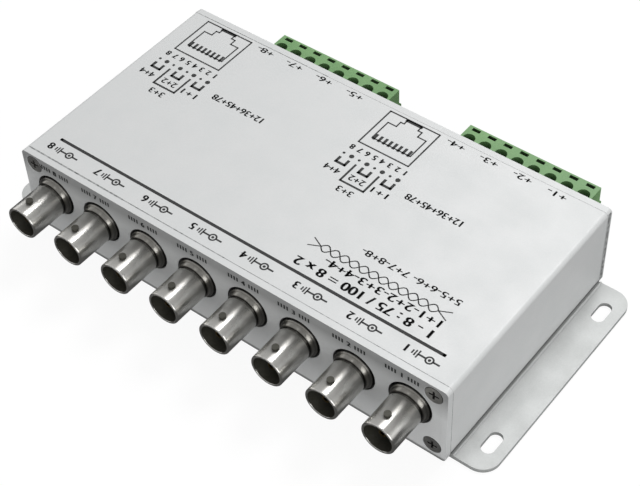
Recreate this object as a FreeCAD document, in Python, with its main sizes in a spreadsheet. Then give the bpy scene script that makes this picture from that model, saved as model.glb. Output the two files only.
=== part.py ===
import FreeCAD, Part
import Sketcher
import math
import os

# Eight-channel passive video balun in an extruded aluminium case.
# X runs along the row of BNC sockets, with channel 1 at +X.
# The BNC side faces -Y and the terminal side faces +Y.
# Z is up, and the origin is in the middle of the case on its underside.

channels = 8
ways = 8
jack_ways = 8

# Driving dimensions in millimetres: name, value, what it measures.
sizes = [
    ("case_depth", 72.0, "outer face to outer face of the end panels"),
    ("case_height", 26.6, "underside to lid"),
    ("wall", 1.8, "cover wall"),
    ("cover_radius", 1.3, "long top edges of the cover"),
    ("foot_chamfer", 0.4, "shadow line where the cover meets the base"),
    ("panel_thickness", 2.0, "front and rear panels"),
    ("base_thickness", 1.2, "floor and ears"),
    ("lip_thickness", 1.4, "upright lips inside the cover walls"),
    ("lip_height", 4.0, "lips above the floor"),
    ("cover_fit", 0.15, "gap between lip and cover wall"),
    ("ear_reach", 10.8, "ear beyond the cover wall"),
    ("ear_radius", 5.0, "ear corners"),
    ("slot_width", 3.6, "mounting slots"),
    ("slot_length", 7.0, "mounting slots, end to end"),
    ("slot_inset", 6.1, "cover wall to slot centre"),
    ("slot_spacing", 50.6, "between the two slots of an ear"),
    ("bead_gap", 0.4, "cover wall to bead"),
    ("bead_width", 0.7, "raised bead beside the cover"),
    ("bead_height", 0.3, "raised bead beside the cover"),
    ("bead_crest", 0.3, "flat top of the bead"),
    ("port_radius", 2.1, "outside of the screw ports"),
    ("top_screw_inset", 3.4, "screw axis from the lid"),
    ("base_screw_inset", 4.0, "screw axis from the underside"),
    ("screw_radius", 1.25, "shank of the panel and board screws"),
    ("screw_length", 8.0, "panel screws, overall"),
    ("head_radius", 2.5, "countersunk heads"),
    ("head_height", 1.4, "countersunk heads"),
    ("recess_span", 2.8, "cross recess, tip to tip"),
    ("recess_width", 0.6, "cross recess, width of an arm"),
    ("recess_depth", 0.9, "cross recess"),
    ("snug", 0.05, "radial gap of pressed and threaded fits"),
    ("play", 0.2, "gap round pieces that pass through holes"),
    ("board_thickness", 1.6, "circuit board"),
    ("board_margin", 0.3, "board edge to panels and lips"),
    ("standoff_height", 5.2, "floor to board"),
    ("standoff_radius", 2.6, "standoff body"),
    ("board_hole_inset", 6.45, "lip to the standoffs"),
    ("board_hole_room", 0.6, "jack to the board screw heads"),
    ("board_screw_length", 5.0, "below the head"),
    ("pan_radius", 2.3, "board screw heads"),
    ("pan_height", 1.5, "board screw heads"),
    ("solder_tail", 0.8, "leads below the board"),
    ("socket_room", 2.55, "cover wall to the first and last socket block"),
    ("socket_drop", 11.1, "lid to the socket axes"),
    ("port_room", 0.2, "screw ports to the socket blocks"),
    ("bnc_reach", 12.9, "mouth ahead of the front panel"),
    ("bnc_hole_radius", 6.3, "panel hole"),
    ("barrel_radius", 4.8, "bayonet barrel"),
    ("barrel_bore", 4.05, "bore radius, from the mouth through the block"),
    ("bore_depth", 5.5, "mouth to insulator"),
    ("collar_radius", 5.7, "collar in the panel hole"),
    ("collar_reach", 0.5, "collar ahead of the panel"),
    ("lug_radius", 0.95, "bayonet lugs"),
    ("lug_reach", 5.5, "socket axis to lug tip"),
    ("lug_setback", 4.0, "mouth to lug axis"),
    ("block_width", 12.4, "block behind the panel"),
    ("block_depth", 9.5, "block behind the panel"),
    ("block_chamfer", 1.0, "top corners of the block"),
    ("block_gap", 0.1, "panel to block"),
    ("post_spacing", 8.0, "solder posts"),
    ("post_side", 1.4, "solder posts"),
    ("post_setback", 6.0, "front of the block to the posts"),
    ("insulator_length", 6.0, "insulator"),
    ("contact_radius", 1.05, "centre contact"),
    ("contact_bore", 0.65, "centre contact bore radius"),
    ("contact_bore_depth", 5.0, "centre contact bore"),
    ("contact_setback", 1.9, "mouth to contact"),
    ("contact_rear", 1.6, "contact behind the block"),
    ("contact_tail", 0.9, "contact tail"),
    ("jack_room", 0.2, "screw port to the first jack"),
    ("jack_gap", 0.25, "jack to its terminal header"),
    ("set_gap", 7.22, "between the two sets of jack and header"),
    ("header_room", 2.5, "last header to the screw port"),
    ("jack_width", 15.9, "RJ45 housing"),
    ("jack_depth", 15.6, "RJ45 housing"),
    ("jack_height", 13.0, "RJ45 housing above the board"),
    ("plug_width", 11.9, "RJ45 cavity"),
    ("plug_height", 6.8, "RJ45 cavity"),
    ("plug_depth", 12.5, "RJ45 cavity"),
    ("plug_floor", 4.2, "RJ45 cavity above the board"),
    ("latch_width", 6.2, "upper step of the latch notch"),
    ("latch_drop", 1.6, "upper step of the latch notch"),
    ("catch_width", 3.4, "lower step of the latch notch"),
    ("catch_drop", 1.4, "lower step of the latch notch"),
    ("wire_pitch", 1.02, "RJ45 contact wires"),
    ("wire_width", 0.45, "RJ45 contact wires"),
    ("wire_thickness", 0.35, "RJ45 contact wires"),
    ("wire_start", 1.5, "mouth to the root of a wire"),
    ("wire_root", 1.5, "length of a wire's root along the roof"),
    ("wire_run", 6.5, "length of a wire's slope"),
    ("wire_drop", 2.0, "fall of a wire's slope"),
    ("pole_pitch", 5.08, "terminal ways"),
    ("header_margin", 0.2, "header beyond the plug at each end"),
    ("header_depth", 12.0, "terminal header"),
    ("header_height", 8.6, "terminal header above the board"),
    ("header_wall", 1.1, "terminal header"),
    ("header_back", 3.0, "terminal header rear wall"),
    ("pin_side", 1.0, "square header pins"),
    ("pin_height", 4.2, "pin axis above the board"),
    ("pin_tip", 1.5, "panel face to pin tip"),
    ("tongue_gap", 0.25, "plug tongue in the header"),
    ("tongue_length", 8.0, "plug tongue behind the panel face"),
    ("pole_gap", 0.4, "rear panel to plug"),
    ("pole_reach", 10.5, "plug top edge beyond the rear panel"),
    ("pole_top", 12.4, "plug above the board"),
    ("pole_drop", 2.4, "plug below the board's top"),
    ("funnel_reach", 1.0, "lower face of the plug beyond its top edge"),
    ("funnel_height", 7.6, "start of the plug's sloping step above the board"),
    ("well_radius", 1.75, "screwdriver wells"),
    ("well_y", 5.8, "rear panel to the screw axes"),
    ("window_width", 2.5, "test windows in the plug's top"),
    ("window_length", 1.1, "test windows in the plug's top"),
    ("window_depth", 3.5, "test windows in the plug's top"),
    ("window_inset", 1.1, "plug top edge to window middle"),
    ("entry_width", 4.0, "wire entries"),
    ("entry_height", 5.4, "wire entries"),
    ("entry_floor", 0.5, "wire entries above the board"),
    ("clamp_depth", 6.0, "wire clamp cage"),
    ("clamp_roof", 1.5, "wire clamp cage, threaded top"),
    ("clamp_wall", 0.6, "wire clamp cage, sides and floor"),
    ("pole_screw_radius", 1.2, "terminal screw shank"),
    ("pole_head_radius", 1.55, "terminal screw head"),
    ("pole_head_height", 1.7, "terminal screw head"),
    ("pole_head_gap", 0.3, "clamp to screw head"),
    ("pole_slot_width", 0.6, "screwdriver slot"),
    ("pole_slot_depth", 0.7, "screwdriver slot"),
    ("strip_width", 1.5, "plug contact strips"),
    ("strip_thickness", 0.3, "plug contact strips"),
    ("strip_setback", 0.5, "rear of the tongue to the contact strips"),
    ("core_span", 9.0, "transformer core, each way"),
    ("core_leg", 2.4, "transformer core, width of a leg"),
    ("core_height", 4.2, "transformer core"),
    ("winding", 0.6, "thickness of a coil"),
    ("winding_length", 3.6, "coil along its leg"),
]

doc = FreeCAD.newDocument("video_balun")
sheet = doc.addObject("Spreadsheet::Sheet", "Sizes")
for row, (name, value, meaning) in enumerate(sizes, start=1):
    sheet.set(f"A{row}", name)
    sheet.set(f"B{row}", str(value))
    sheet.set(f"C{row}", meaning)
    sheet.setAlias(f"B{row}", name)
doc.recompute()
names = {name for name, value, meaning in sizes}


def of(text):
    # Turns size names in a formula into references to the sheet.
    words = []
    for word in text.split():
        bare = word.strip("()")
        words.append(word.replace(bare, "Sizes." + bare) if bare in names else word)
    return " ".join(words)


# Places that several pieces share, as formulas of the sizes.
plug_row_width = f"( pole_pitch * {ways} )"
header_width = f"( {plug_row_width} + 2 * header_margin )"
set_spacing = f"( jack_width + jack_gap + {header_width} + set_gap )"
port_edge = f"( {set_spacing} - set_gap / 2 + jack_room / 2 + header_room / 2 )"
screw_x = f"( {port_edge} + port_radius )"
inner_side = f"( {screw_x} + port_radius + cover_fit )"
side = f"( {inner_side} + wall )"
face = "( case_depth / 2 )"
inner_face = "( case_depth / 2 - panel_thickness )"
section_length = "( case_depth - 2 * panel_thickness )"
lip_outer = f"( {inner_side} - cover_fit )"
lip_inner = f"( {inner_side} - cover_fit - lip_thickness )"
screw_low = "base_screw_inset"
screw_high = "( case_height - top_screw_inset )"
screw_rise = "( case_height - top_screw_inset - base_screw_inset )"
slot_x = f"( {side} + slot_inset )"
board_low = "( base_thickness + standoff_height )"
board_top = "( base_thickness + standoff_height + board_thickness )"
board_hole_x = f"( {lip_inner} - board_hole_inset )"
board_hole_y = f"( {face} - jack_depth - board_hole_room - pan_radius )"
socket_row = f"( 2 * {inner_side} - block_width - 2 * socket_room )"
first_socket = f"( -1 * {socket_row} / 2 )"
socket_height = "( case_height - socket_drop )"
socket_rise = f"( {socket_height} - {board_top} )"
block_rise = f"( {screw_high} - port_radius - port_room - {socket_height} )"
block_front = "( panel_thickness + block_gap )"
post_y = f"( {block_front} + post_setback )"
contact_end = f"( {block_front} + block_depth + contact_rear )"
tail_y = f"( {contact_end} - contact_tail / 2 )"
lead_length = "( board_thickness + solder_tail )"
row_length = f"( pole_pitch * {ways - 1} )"
first_way = f"( -1 * {row_length} / 2 )"
pin_tail_y = "( header_depth + pin_side / 2 + snug )"
jack_roof = "( plug_floor + plug_height )"
jack_offset = f"( {header_width} / 2 + jack_gap + jack_width / 2 )"
block_x = f"( {port_edge} - header_room - {header_width} / 2 )"


def negative(text):
    return f"-1 * ( {text} )"


def new_body(label):
    body = doc.addObject("PartDesign::Body", label)
    body.Label = label
    return body


def origin_feature(body, role):
    return next(item for item in body.Origin.OriginFeatures if item.Role == role)


def new_sketch(body, plane, x="0", y="0", out="0"):
    # x and y shift the drawing in its own plane, and out moves the plane along its normal.
    sketch = body.newObject("Sketcher::SketchObject", "sketch")
    sketch.AttachmentSupport = (origin_feature(body, plane), [""])
    sketch.MapMode = "FlatFace"
    for axis, shift in (("x", x), ("y", y), ("z", out)):
        sketch.setExpression(f"AttachmentOffset.Base.{axis}", of(shift))
    return sketch


def dimension(sketch, kind, *target, text):
    index = sketch.addConstraint(Sketcher.Constraint(kind, *target, 1.0))
    sketch.setExpression(f"Constraints[{index}]", of(text))


def draw_polygon(sketch, points):
    # The corners start on a ring and are pulled to their places by the dimensions.
    count = len(points)
    first = len(sketch.Geometry)
    turns = [2 * math.pi * corner / count for corner in range(count)]
    ring = [FreeCAD.Vector(math.cos(turn), math.sin(turn), 0) * 50 for turn in turns]
    for corner in range(count):
        sketch.addGeometry(Part.LineSegment(ring[corner], ring[(corner + 1) % count]), False)
    for corner in range(count):
        after = first + (corner + 1) % count
        sketch.addConstraint(Sketcher.Constraint("Coincident", first + corner, 2, after, 1))
    for corner, (x, y) in enumerate(points):
        dimension(sketch, "DistanceX", -1, 1, first + corner, 1, text=x)
        dimension(sketch, "DistanceY", -1, 1, first + corner, 1, text=y)


def draw_rectangle(sketch, left, low, right, high):
    draw_polygon(sketch, [(left, low), (right, low), (right, high), (left, high)])


def draw_centred(sketch, width, low, high):
    draw_rectangle(sketch, f"-1 * {width} / 2", low, f"{width} / 2", high)


def draw_square(sketch, x, y, half):
    draw_rectangle(sketch, f"{x} - {half}", f"{y} - {half}", f"{x} + {half}", f"{y} + {half}")


def draw_circle(sketch, x, y, radius):
    index = len(sketch.Geometry)
    middle = FreeCAD.Vector(0, 0, 0)
    sketch.addGeometry(Part.Circle(middle, FreeCAD.Vector(0, 0, 1), 1.0), False)
    dimension(sketch, "Radius", index, text=radius)
    dimension(sketch, "DistanceX", -1, 1, index, 3, text=x)
    dimension(sketch, "DistanceY", -1, 1, index, 3, text=y)


def add_feature(body, kind, sketch, length, back=False, both=False):
    feature = body.newObject(f"PartDesign::{kind}", kind.lower())
    feature.Profile = sketch
    feature.setExpression("Length", of(length))
    feature.Reversed = back
    feature.Midplane = both
    return feature


def pad(body, sketch, length, back=False, both=False):
    return add_feature(body, "Pad", sketch, length, back, both)


def pocket(body, sketch, length, back=False, both=False):
    return add_feature(body, "Pocket", sketch, length, back, both)


def turn(body, kind, sketch, angle="360"):
    feature = body.newObject(f"PartDesign::{kind}", kind.lower())
    feature.Profile = sketch
    feature.ReferenceAxis = (sketch, ["V_Axis"])
    feature.setExpression("Angle", of(angle))
    return feature


def row_of(body, originals, role, count, length):
    pattern = body.newObject("PartDesign::LinearPattern", "row")
    pattern.Originals = originals
    pattern.Direction = (origin_feature(body, role), [""])
    pattern.Occurrences = count
    pattern.setExpression("Length", of(length))
    body.Tip = pattern
    return pattern


def grid_of(body, originals, role, count, length, role2, count2, length2):
    pattern = row_of(body, originals, role, count, length)
    pattern.Direction2 = (origin_feature(body, role2), [""])
    pattern.Occurrences2 = count2
    pattern.setExpression("Length2", of(length2))
    return pattern


def place(body, x="0", y="0", z="0"):
    for axis, shift in (("x", x), ("y", y), ("z", z)):
        body.setExpression(f"Placement.Base.{axis}", of(shift))


def edges_where(feature, wanted):
    doc.recompute()
    edges = enumerate(feature.Shape.Edges, start=1)
    return [f"Edge{number}" for number, edge in edges if wanted(edge)]


def round_edges(body, feature, wanted, radius):
    fillet = body.newObject("PartDesign::Fillet", "fillet")
    fillet.Base = (feature, edges_where(feature, wanted))
    fillet.setExpression("Radius", of(radius))
    return fillet


def runs_along(edge, axis):
    ends = [vertex.Point for vertex in edge.Vertexes]
    if len(ends) != 2:
        return False
    run = ends[1] - ends[0]
    others = [abs(run[index]) for index in range(3) if index != axis]
    return abs(run[axis]) > 1e-6 and max(others) < 1e-6


def at_outside(edge, axis, box):
    # True where the edge lies on the shape's lowest or highest plane across an axis.
    place_on_axis = edge.CenterOfMass[axis]
    low, high = (box.XMin, box.YMin, box.ZMin)[axis], (box.XMax, box.YMax, box.ZMax)[axis]
    return min(abs(place_on_axis - low), abs(place_on_axis - high)) < 1e-6


def mirrored(points):
    # Completes an outline that is symmetric left and right.
    return points + [(negative(x), y) for x, y in reversed(points)]


# The cover: one extrusion with a screw port in each top corner.
def make_cover():
    body = new_body("cover")
    section = new_sketch(body, "XZ_Plane")
    draw_polygon(section, mirrored([
        (inner_side, "case_height - wall"),
        (inner_side, "base_thickness"),
        (f"{side} - foot_chamfer", "base_thickness"),
        (side, "base_thickness + foot_chamfer"),
        (side, "case_height"),
    ]))
    channel = pad(body, section, section_length, both=True)
    doc.recompute()
    box = channel.Shape.BoundBox

    def top_corner(edge):
        high = abs(edge.CenterOfMass.z - box.ZMax) < 1e-6
        return runs_along(edge, 1) and high and at_outside(edge, 0, box)

    round_edges(body, channel, top_corner, "cover_radius")
    webs = new_sketch(body, "XZ_Plane")
    ports = new_sketch(body, "XZ_Plane")
    bores = new_sketch(body, "XZ_Plane")
    for sign in (-1, 1):
        axis = f"{sign} * {screw_x}"
        web_edge = f"{sign} * ( {side} - wall / 2 )"
        draw_rectangle(webs, axis, f"{screw_high} - port_radius", web_edge, "case_height - wall / 2")
        draw_circle(ports, axis, screw_high, "port_radius")
        draw_circle(bores, axis, screw_high, "screw_radius + snug")
    pad(body, webs, section_length, both=True)
    pad(body, ports, section_length, both=True)
    pocket(body, bores, section_length, both=True)
    return body


# The base: floor, ears, lips that locate the cover, and two screw ports.
def make_base():
    body = new_body("base")
    ear = f"( {side} + ear_reach )"
    bead = f"( {side} + bead_gap )"
    floor = "base_thickness"
    right = [
        (ear, "0"),
        (ear, floor),
        (f"{bead} + bead_width", floor),
        (f"{bead} + ( bead_width + bead_crest ) / 2", "base_thickness + bead_height"),
        (f"{bead} + ( bead_width - bead_crest ) / 2", "base_thickness + bead_height"),
        (bead, floor),
        (lip_outer, floor),
        (lip_outer, "base_thickness + lip_height"),
        (lip_inner, "base_thickness + lip_height"),
        (lip_inner, floor),
    ]
    section = new_sketch(body, "XZ_Plane")
    draw_polygon(section, mirrored(right))
    floor_plate = pad(body, section, section_length, both=True)
    doc.recompute()
    box = floor_plate.Shape.BoundBox

    def ear_corner(edge):
        return runs_along(edge, 2) and at_outside(edge, 0, box) and at_outside(edge, 1, box)

    round_edges(body, floor_plate, ear_corner, "ear_radius")
    ports = new_sketch(body, "XZ_Plane")
    bores = new_sketch(body, "XZ_Plane")
    for sign in (-1, 1):
        draw_circle(ports, f"{sign} * {screw_x}", screw_low, "port_radius")
        draw_circle(bores, f"{sign} * {screw_x}", screw_low, "screw_radius + snug")
    pad(body, ports, section_length, both=True)
    pocket(body, bores, section_length, both=True)
    half_side = "( slot_length - slot_width ) / 2"
    slot = [
        new_sketch(body, "XY_Plane", x=negative(slot_x), y="-1 * slot_spacing / 2")
        for part in range(3)
    ]
    draw_centred(slot[0], "slot_width", f"-1 * {half_side}", half_side)
    draw_circle(slot[1], "0", f"-1 * {half_side}", "slot_width / 2")
    draw_circle(slot[2], "0", half_side, "slot_width / 2")
    cuts = [pocket(body, sketch, "base_thickness", back=True) for sketch in slot]
    grid_of(body, cuts, "X_Axis", 2, f"2 * {slot_x}", "Y_Axis", 2, "slot_spacing")
    return body


# An end panel: plate with rounded corners and four countersunk holes.
# The front panel has facing -1 and the rear panel 1.
def make_panel(label, facing):
    body = new_body(label)
    plate = new_sketch(body, "XZ_Plane", out=f"{-facing} * {inner_face}")
    draw_rectangle(plate, negative(side), "0", side, "case_height")
    blank = pad(body, plate, "panel_thickness", back=facing > 0)
    doc.recompute()
    box = blank.Shape.BoundBox

    def corner(edge):
        return runs_along(edge, 1) and at_outside(edge, 0, box) and at_outside(edge, 2, box)

    round_edges(body, blank, corner, "cover_radius")
    sink = new_sketch(body, "XY_Plane", x=negative(screw_x), out=screw_low)
    draw_polygon(sink, [
        ("0", f"{facing} * {face}"),
        ("head_radius + play", f"{facing} * {face}"),
        ("screw_radius + play", f"{facing} * ( {face} - head_height )"),
        ("screw_radius + play", f"{facing} * {inner_face}"),
        ("0", f"{facing} * {inner_face}"),
    ])
    hole = turn(body, "Groove", sink)
    grid_of(body, [hole], "X_Axis", 2, f"2 * {screw_x}", "Z_Axis", 2, screw_rise)
    return body


def make_front_panel():
    body = make_panel("front_panel", -1)
    first_hole = new_sketch(body, "XZ_Plane", out=face)
    draw_circle(first_hole, first_socket, socket_height, "bnc_hole_radius")
    hole = pocket(body, first_hole, "panel_thickness")
    row_of(body, [hole], "X_Axis", channels, socket_row)
    return body


def make_rear_panel():
    # Each set of jack and terminal header stands in one stepped cut-out.
    body = make_panel("rear_panel", 1)
    middle = f"( {block_x} - {set_spacing} )"
    left = f"{middle} - {jack_offset} - jack_width / 2 - play"
    step = f"{middle} - {jack_offset} + jack_width / 2 + play"
    right = f"{middle} + {header_width} / 2 + play"
    low = f"{board_top} - play"
    outline = new_sketch(body, "XZ_Plane", out=f"-1 * {inner_face}")
    draw_polygon(outline, [
        (left, low),
        (right, low),
        (right, f"{board_top} + header_height + play"),
        (step, f"{board_top} + header_height + play"),
        (step, f"{board_top} + jack_height + play"),
        (left, f"{board_top} + jack_height + play"),
    ])
    opening = pocket(body, outline, "panel_thickness")
    row_of(body, [opening], "X_Axis", 2, set_spacing)
    return body


def make_panel_screws(label, facing):
    # Countersunk cross-head screws in the four corners of an end panel.
    body = new_body(label)
    outline = new_sketch(body, "XY_Plane", x=negative(screw_x), out=screw_low)
    draw_polygon(outline, [
        ("0", f"{facing} * {face}"),
        ("head_radius", f"{facing} * {face}"),
        ("screw_radius", f"{facing} * ( {face} - head_height )"),
        ("screw_radius", f"{facing} * ( {face} - screw_length )"),
        ("0", f"{facing} * ( {face} - screw_length )"),
    ])
    screw = turn(body, "Revolution", outline)
    cross = new_sketch(body, "XZ_Plane", x=negative(screw_x), y=screw_low, out=f"{-facing} * {face}")
    draw_cross(cross)
    recess = pocket(body, cross, "recess_depth", back=facing > 0)
    grid_of(body, [screw, recess], "X_Axis", 2, f"2 * {screw_x}", "Z_Axis", 2, screw_rise)
    return body


def draw_cross(sketch):
    near, far = "recess_width / 2", "recess_span / 2"
    quarter = [(near, far), (near, near), (far, near)]
    points = []
    for sign_x, sign_y in ((1, 1), (1, -1), (-1, -1), (-1, 1)):
        corner = [(f"{sign_x} * {x}", f"{sign_y} * {y}") for x, y in quarter]
        points += corner if sign_x == sign_y else corner[::-1]
    draw_polygon(sketch, points)


# The circuit board, with holes for every lead and screw.
def make_board():
    body = new_body("circuit_board")
    outline = new_sketch(body, "XY_Plane", out=board_low)
    half_x = f"( {lip_inner} - board_margin )"
    half_y = f"( {inner_face} - board_margin )"
    draw_rectangle(outline, negative(half_x), negative(half_y), half_x, half_y)
    pad(body, outline, "board_thickness")

    screw_hole = new_sketch(
        body, "XY_Plane", x=negative(board_hole_x), y=negative(board_hole_y), out=board_top)
    draw_circle(screw_hole, "0", "0", "screw_radius + play")
    drilled = pocket(body, screw_hole, "board_thickness")
    four_corners(body, [drilled])

    socket_holes = new_sketch(body, "XY_Plane", x=first_socket, y=negative(face), out=board_top)
    for sign in (-1, 1):
        draw_square(socket_holes, f"{sign} * post_spacing / 2", post_y, "( post_side / 2 + snug )")
    draw_square(socket_holes, "0", tail_y, "( contact_tail / 2 + snug )")
    drilled = pocket(body, socket_holes, "board_thickness")
    row_of(body, [drilled], "X_Axis", channels, socket_row)

    pin_x = f"{block_x} - {set_spacing} + {first_way}"
    pin_hole = new_sketch(body, "XY_Plane", x=pin_x, y=face, out=board_top)
    draw_square(pin_hole, "0", negative(pin_tail_y), "( pin_side / 2 + snug )")
    drilled = pocket(body, pin_hole, "board_thickness")
    grid_of(body, [drilled], "X_Axis", ways, row_length, "X_Axis", 2, set_spacing)
    return body


def four_corners(body, originals):
    grid_of(body, originals, "X_Axis", 2, f"2 * {board_hole_x}", "Y_Axis", 2, f"2 * {board_hole_y}")


def make_standoffs():
    # Hexagonal posts on the floor, bored right through for the board screws.
    body = new_body("standoffs")
    section = new_sketch(
        body, "XY_Plane", x=negative(board_hole_x), y=negative(board_hole_y), out="base_thickness")
    corners = [math.radians(60 * corner) for corner in range(6)]
    draw_polygon(section, [
        (f"standoff_radius * {math.cos(angle):.6f}", f"standoff_radius * {math.sin(angle):.6f}")
        for angle in corners
    ])
    draw_circle(section, "0", "0", "screw_radius + snug")
    post = pad(body, section, "standoff_height")
    four_corners(body, [post])
    return body


def make_board_screws():
    body = new_body("board_screws")
    outline = new_sketch(body, "XZ_Plane", x=negative(board_hole_x), out=board_hole_y)
    draw_polygon(outline, [
        ("0", f"{board_top} - board_screw_length"),
        ("screw_radius", f"{board_top} - board_screw_length"),
        ("screw_radius", board_top),
        ("pan_radius", board_top),
        ("pan_radius", f"{board_top} + pan_height"),
        ("0", f"{board_top} + pan_height"),
    ])
    screw = turn(body, "Revolution", outline)
    head_top = f"{board_top} + pan_height"
    cross = new_sketch(
        body, "XY_Plane", x=negative(board_hole_x), y=negative(board_hole_y), out=head_top)
    draw_cross(cross)
    recess = pocket(body, cross, "recess_depth")
    four_corners(body, [screw, recess])
    return body


# One BNC socket. Its own origin is on its axis, in the front panel's outer face.
def socket_x(number):
    return f"{first_socket} + {socket_row} * {(channels - number) / (channels - 1):.6f}"


def socket_place(body, number):
    place(body, socket_x(number), negative(face), socket_height)


def make_bnc_shell(number):
    body = new_body(f"bnc_shell_{number}")
    outline = new_sketch(body, "XY_Plane")
    draw_polygon(outline, [
        ("0", "-1 * bnc_reach"),
        ("barrel_radius", "-1 * bnc_reach"),
        ("barrel_radius", "-1 * collar_reach"),
        ("collar_radius", "-1 * collar_reach"),
        ("collar_radius", block_front),
        ("0", block_front),
    ])
    turn(body, "Revolution", outline)
    block = new_sketch(body, "XZ_Plane", out=negative(block_front))
    draw_polygon(block, mirrored([
        ("block_width / 2", negative(socket_rise)),
        ("block_width / 2", f"{block_rise} - block_chamfer"),
        ("( block_width / 2 - block_chamfer )", block_rise),
    ]))
    pad(body, block, "block_depth", back=True)
    lugs = new_sketch(body, "XY_Plane")
    draw_circle(lugs, "0", "lug_setback - bnc_reach", "lug_radius")
    pad(body, lugs, "2 * lug_reach", both=True)
    posts = new_sketch(body, "XY_Plane", out=negative(socket_rise))
    for sign in (-1, 1):
        draw_square(posts, f"{sign} * post_spacing / 2", post_y, "( post_side / 2 )")
    pad(body, posts, lead_length, back=True)
    bore = new_sketch(body, "XZ_Plane", out="bnc_reach")
    draw_circle(bore, "0", "0", "barrel_bore")
    pocket(body, bore, f"bnc_reach + {block_front} + block_depth")
    socket_place(body, number)
    return body


def make_bnc_insulator(number):
    body = new_body(f"bnc_insulator_{number}")
    section = new_sketch(body, "XZ_Plane", out="bnc_reach - bore_depth")
    draw_circle(section, "0", "0", "barrel_bore - snug")
    draw_circle(section, "0", "0", "contact_radius + snug")
    pad(body, section, "insulator_length", back=True)
    socket_place(body, number)
    return body


def make_bnc_contact(number):
    body = new_body(f"bnc_contact_{number}")
    outline = new_sketch(body, "XY_Plane")
    draw_polygon(outline, [
        ("0", contact_end),
        ("contact_radius", contact_end),
        ("contact_radius", "contact_setback - bnc_reach"),
        ("contact_bore", "contact_setback - bnc_reach"),
        ("contact_bore", "contact_setback + contact_bore_depth - bnc_reach"),
        ("0", "contact_setback + contact_bore_depth - bnc_reach"),
    ])
    turn(body, "Revolution", outline)
    tail = new_sketch(body, "XY_Plane")
    draw_square(tail, "0", tail_y, "( contact_tail / 2 )")
    pad(body, tail, f"{socket_rise} + {lead_length}", back=True)
    socket_place(body, number)
    return body


# One set of RJ45 jack and terminal block. Its own origin is on the board, in line with
# the rear panel's outer face, and +Y points out of the case.
def set_place(body, index, offset="0"):
    place(body, f"{block_x} - {set_spacing} * {index} - {offset}", face, board_top)


def make_jack(letter, index):
    body = new_body(f"rj45_housing_{letter}")
    outside = new_sketch(body, "XZ_Plane")
    draw_centred(outside, "jack_width", "0", "jack_height")
    pad(body, outside, "jack_depth")
    mouth = new_sketch(body, "XZ_Plane")
    ledge = "plug_floor - latch_drop"
    draw_polygon(mouth, mirrored([
        ("catch_width / 2", "plug_floor - latch_drop - catch_drop"),
        ("catch_width / 2", ledge),
        ("latch_width / 2", ledge),
        ("latch_width / 2", "plug_floor"),
        ("plug_width / 2", "plug_floor"),
        ("plug_width / 2", jack_roof),
    ]))
    pocket(body, mouth, "plug_depth", back=True)
    set_place(body, index, jack_offset)
    return body


def make_jack_wires(letter, index):
    # Eight sprung wires that fall from the roof of the jack towards its rear.
    body = new_body(f"rj45_contacts_{letter}")
    bend = "-1 * ( wire_start + wire_root )"
    end = "-1 * ( wire_start + wire_root + wire_run )"
    row = f"( wire_pitch * {jack_ways - 1} )"
    profile = new_sketch(body, "YZ_Plane", out=f"-1 * {row} / 2")
    draw_polygon(profile, [
        ("-1 * wire_start", jack_roof),
        (bend, jack_roof),
        (end, f"{jack_roof} - wire_drop"),
        (end, f"{jack_roof} - wire_drop - wire_thickness"),
        (bend, f"{jack_roof} - wire_thickness"),
        ("-1 * wire_start", f"{jack_roof} - wire_thickness"),
    ])
    wire = pad(body, profile, "wire_width", both=True)
    row_of(body, [wire], "X_Axis", jack_ways, row)
    set_place(body, index, jack_offset)
    return body


def make_header(letter, index):
    body = new_body(f"terminal_header_{letter}")
    outside = new_sketch(body, "XZ_Plane")
    draw_centred(outside, header_width, "0", "header_height")
    pad(body, outside, "header_depth")
    room = new_sketch(body, "XZ_Plane")
    room_width = f"( {header_width} - 2 * header_wall )"
    draw_centred(room, room_width, "header_wall", "header_height - header_wall")
    pocket(body, room, "header_depth - header_back", back=True)
    pin_hole = new_sketch(body, "XZ_Plane", x=first_way, y="pin_height", out="header_depth")
    draw_square(pin_hole, "0", "0", "( pin_side / 2 + snug )")
    hole = pocket(body, pin_hole, "header_back")
    row_of(body, [hole], "X_Axis", ways, row_length)
    set_place(body, index)
    return body


def make_header_pins(letter, index):
    # Square pins, bent down behind the header into the board.
    body = new_body(f"header_pins_{letter}")
    half = "pin_side / 2"
    profile = new_sketch(body, "YZ_Plane", out=first_way)
    inner = f"-1 * ( {pin_tail_y} - pin_side / 2 )"
    outer = f"-1 * ( {pin_tail_y} + pin_side / 2 )"
    draw_polygon(profile, [
        ("-1 * pin_tip", f"pin_height - {half}"),
        ("-1 * pin_tip", f"pin_height + {half}"),
        (outer, f"pin_height + {half}"),
        (outer, negative(lead_length)),
        (inner, negative(lead_length)),
        (inner, f"pin_height - {half}"),
    ])
    pin = pad(body, profile, "pin_side", both=True)
    row_of(body, [pin], "X_Axis", ways, row_length)
    set_place(body, index)
    return body


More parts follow.
